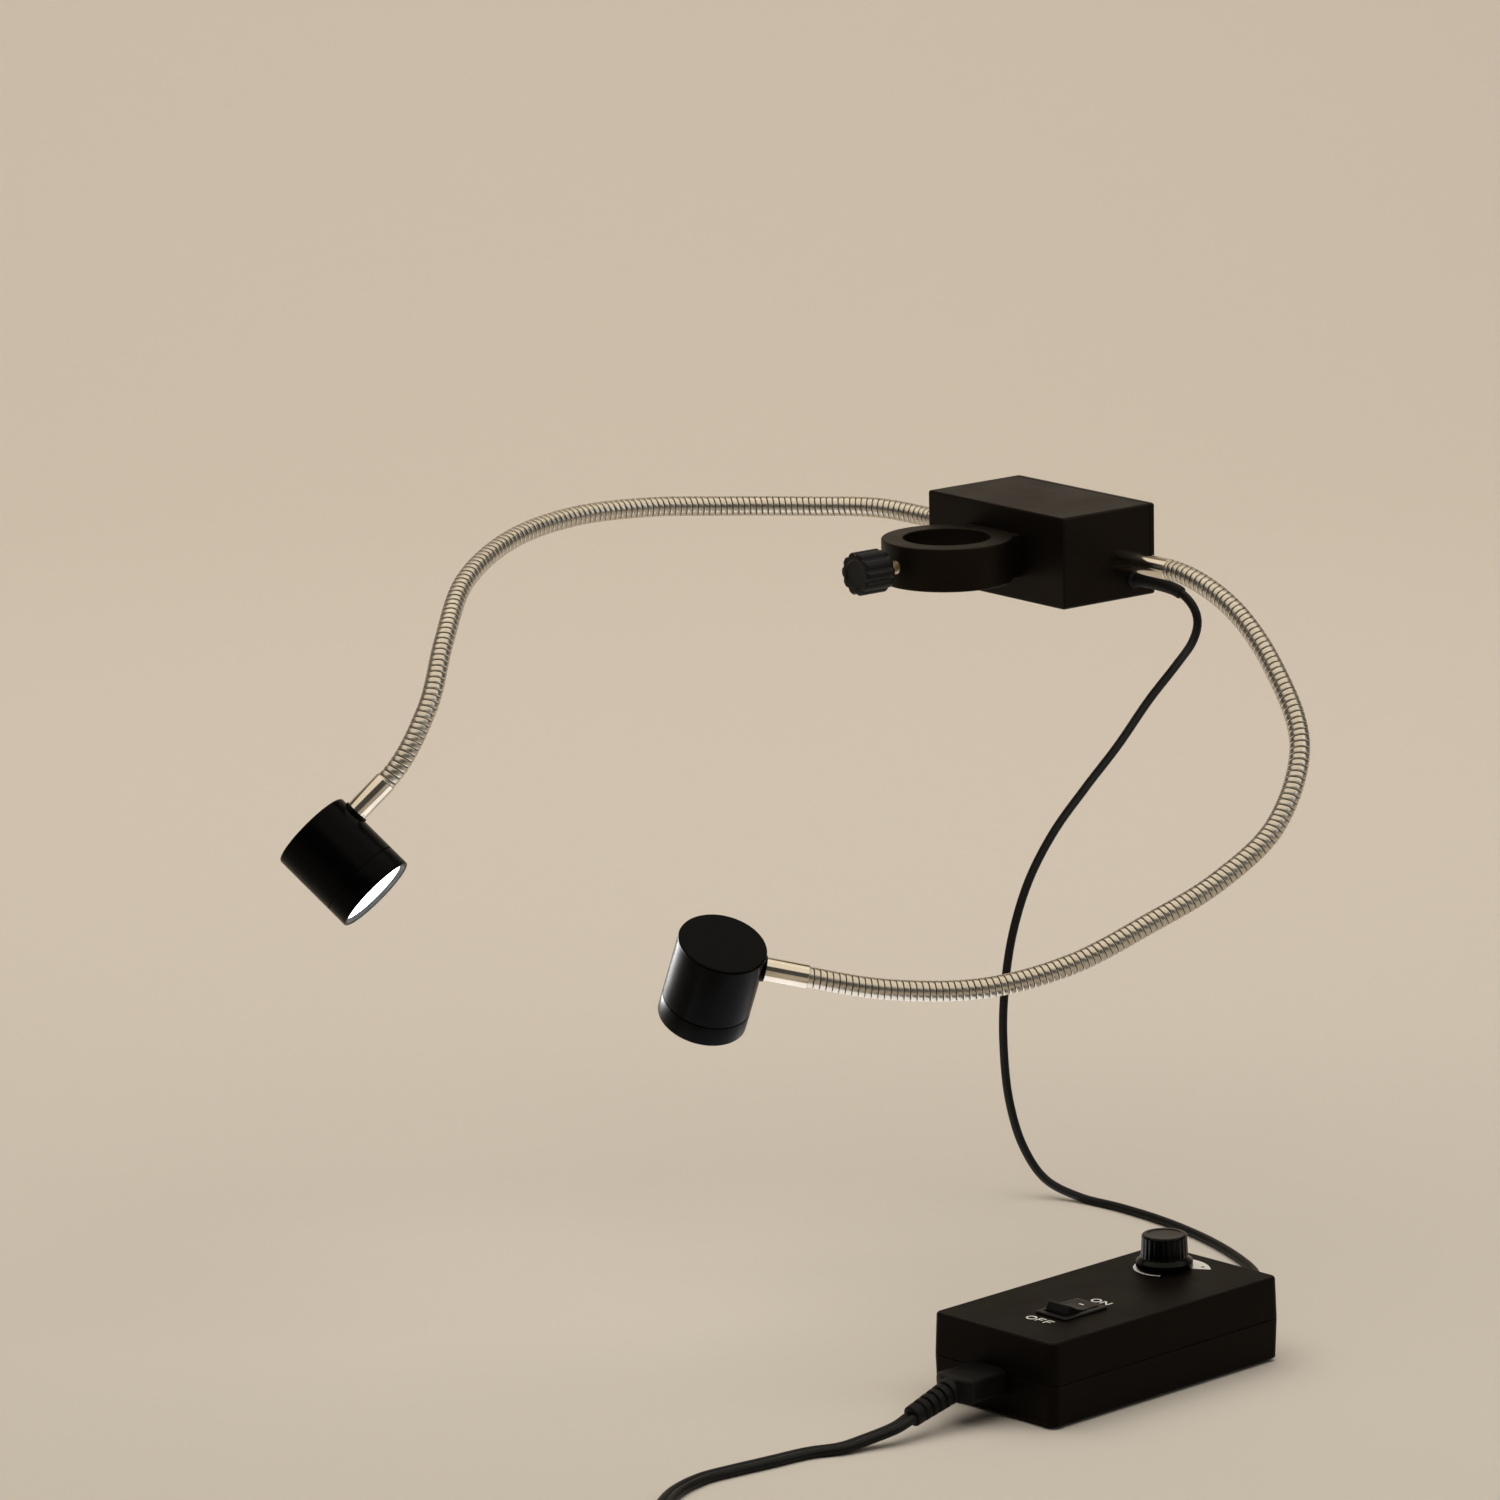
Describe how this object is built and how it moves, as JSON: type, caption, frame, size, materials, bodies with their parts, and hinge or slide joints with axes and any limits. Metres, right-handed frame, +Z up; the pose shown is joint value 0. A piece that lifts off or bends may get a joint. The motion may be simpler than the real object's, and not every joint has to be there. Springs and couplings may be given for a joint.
{
  "type": "dual gooseneck illuminator",
  "caption": "Pole-clamp lamp set: a black box on a clamp ring holds two bending metal necks with round lamp heads, fed by a corded table box with a rocker switch and a dimmer.",
  "frame": {"origin": "centre of the clamp bore, on the axis of the pole it grips", "axes": "+Z up along the pole, +X to the right of the person who faces the clamp knob, -Y towards that person; the junction box is at +Y"},
  "size_m": [0.4954, 0.4781, 0.265],
  "materials": {
    "painted_black": "satin black powder paint",
    "nickel_plate": "bright nickel plate",
    "zinc_steel": "zinc plate",
    "moulded_black": "fine moulded texture",
    "cable_black": "satin flexible jacket",
    "board_green": "solder mask",
    "part_plastic": "plain",
    "bare_aluminium": "turned",
    "white_board": "white solder mask",
    "emitter_dome": "clear dome over phosphor",
    "clear_glass": "frosted inside face"
  },
  "bodies": {
    "fixture": {"clamp_ring": "painted_black", "bracket_screws": "zinc_steel", "box_shell": "painted_black", "box_cover": "painted_black", "cover_screws": "zinc_steel", "neck_nuts": "nickel_plate", "terminal_board": "board_green", "terminal_block": "part_plastic", "lead_bush": "cable_black", "right_base_ferrule": "nickel_plate", "left_base_ferrule": "nickel_plate", "low_voltage_lead": "cable_black", "case_bottom": "moulded_black", "case_top": "moulded_black", "case_screws": "zinc_steel", "feet": "cable_black", "switch_frame": "moulded_black", "dimmer_body": "bare_aluminium", "dimmer_nut": "nickel_plate", "driver_board": "board_green", "board_parts": "part_plastic", "mains_inlet": "moulded_black", "inlet_pins": "nickel_plate", "lead_sleeve": "cable_black", "mains_connector": "cable_black", "mains_cord": "cable_black", "mains_coil": "cable_black", "coil_tie": "cable_black", "mains_plug": "cable_black", "plug_blades": "nickel_plate"},
    "clamp_stud": {"clamp_stud": "nickel_plate"},
    "clamp_knob": {"clamp_knob": "moulded_black"},
    "rocker": {"rocker": "moulded_black"},
    "dimmer": {"dimmer_shaft": "nickel_plate", "dimmer_knob": "moulded_black"},
    "right_neck_1": {"right_neck_1": "nickel_plate"},
    "right_neck_2": {"right_neck_2": "nickel_plate"},
    "right_neck_3": {"right_neck_3": "nickel_plate"},
    "right_neck_4": {"right_neck_4": "nickel_plate"},
    "right_neck_5": {"right_neck_5": "nickel_plate", "right_head_ferrule": "nickel_plate", "right_head_can": "painted_black", "right_heat_sink": "bare_aluminium", "right_lamp_board": "white_board", "right_emitters": "emitter_dome", "right_lens": "clear_glass", "right_bezel": "painted_black"},
    "left_neck_1": {"left_neck_1": "nickel_plate"},
    "left_neck_2": {"left_neck_2": "nickel_plate"},
    "left_neck_3": {"left_neck_3": "nickel_plate"},
    "left_neck_4": {"left_neck_4": "nickel_plate"},
    "left_neck_5": {"left_neck_5": "nickel_plate", "left_head_ferrule": "nickel_plate", "left_head_can": "painted_black", "left_heat_sink": "bare_aluminium", "left_lamp_board": "white_board", "left_emitters": "emitter_dome", "left_lens": "clear_glass", "left_bezel": "painted_black"}
  },
  "joints": [
    {"name": "clamp_screw_feed", "type": "slide", "parent": "fixture", "child": "clamp_stud", "axis": [0, -1, 0], "range_m": [0, 0.0016]},
    {"name": "clamp_knob_turn", "type": "hinge", "parent": "clamp_stud", "child": "clamp_knob", "pos_m": [0, -0.037, 0], "axis": [0, -1, 0], "range_deg": [0, 720]},
    {"name": "switch_rock", "type": "hinge", "parent": "fixture", "child": "rocker", "pos_m": [0.2015, -0.11643, -0.2185], "axis": [0.9962, 0.0872, 0], "range_deg": [0, 24]},
    {"name": "dimmer_turn", "type": "hinge", "parent": "fixture", "child": "dimmer", "pos_m": [0.18426, -0.05872, -0.215], "axis": [0, 0, 1], "range_deg": [-60, 210]},
    {"name": "right_bend_1_lift", "type": "hinge", "parent": "fixture", "child": "right_neck_1", "pos_m": [0.065, 0.0511, -0.002], "axis": [0, -1, 0], "range_deg": [-10, 12]},
    {"name": "right_bend_2_swing", "type": "hinge", "parent": "right_neck_1", "child": "right_neck_2", "pos_m": [0.121, 0.0511, -0.03], "axis": [0.6674, -0.1161, 0.7356], "range_deg": [-8, 7]},
    {"name": "right_bend_3_lift", "type": "hinge", "parent": "right_neck_2", "child": "right_neck_3", "pos_m": [0.148, 0.0271, -0.079], "axis": [-0.9957, -0.0926, 0], "range_deg": [-8, 14]},
    {"name": "right_bend_4_swing", "type": "hinge", "parent": "right_neck_3", "child": "right_neck_4", "pos_m": [0.138, -0.0239, -0.108], "axis": [-0.1172, -0.3723, 0.9207], "range_deg": [-8, 7]},
    {"name": "right_bend_5_lift", "type": "hinge", "parent": "right_neck_4", "child": "right_neck_5", "pos_m": [0.115, -0.0809, -0.126], "axis": [-0.8849, 0.4657, 0], "range_deg": [-12, 20]},
    {"name": "left_bend_1_lift", "type": "hinge", "parent": "fixture", "child": "left_neck_1", "pos_m": [-0.065, 0.0511, -0.002], "axis": [0, 1, 0], "range_deg": [-12, 12]},
    {"name": "left_bend_2_swing", "type": "hinge", "parent": "left_neck_1", "child": "left_neck_2", "pos_m": [-0.114, 0.0251, 0], "axis": [0.0116, 0.0128, 0.9999], "range_deg": [-12, 8]},
    {"name": "left_bend_3_lift", "type": "hinge", "parent": "left_neck_2", "child": "left_neck_3", "pos_m": [-0.142, -0.0299, 0.003], "axis": [-0.972, 0.2351, 0], "range_deg": [-12, 12]},
    {"name": "left_bend_4_swing", "type": "hinge", "parent": "left_neck_3", "child": "left_neck_4", "pos_m": [-0.142, -0.0939, -0.001], "axis": [0.0519, -0.2112, 0.9761], "range_deg": [-12, 8]},
    {"name": "left_bend_5_lift", "type": "hinge", "parent": "left_neck_4", "child": "left_neck_5", "pos_m": [-0.116, -0.1439, -0.028], "axis": [-0.8286, -0.5599, 0], "range_deg": [-20, 20]}
  ],
  "couplings": [
    {"joint": "clamp_knob_turn", "follows": "clamp_screw_feed", "rad_per_m": 7854}
  ]
}
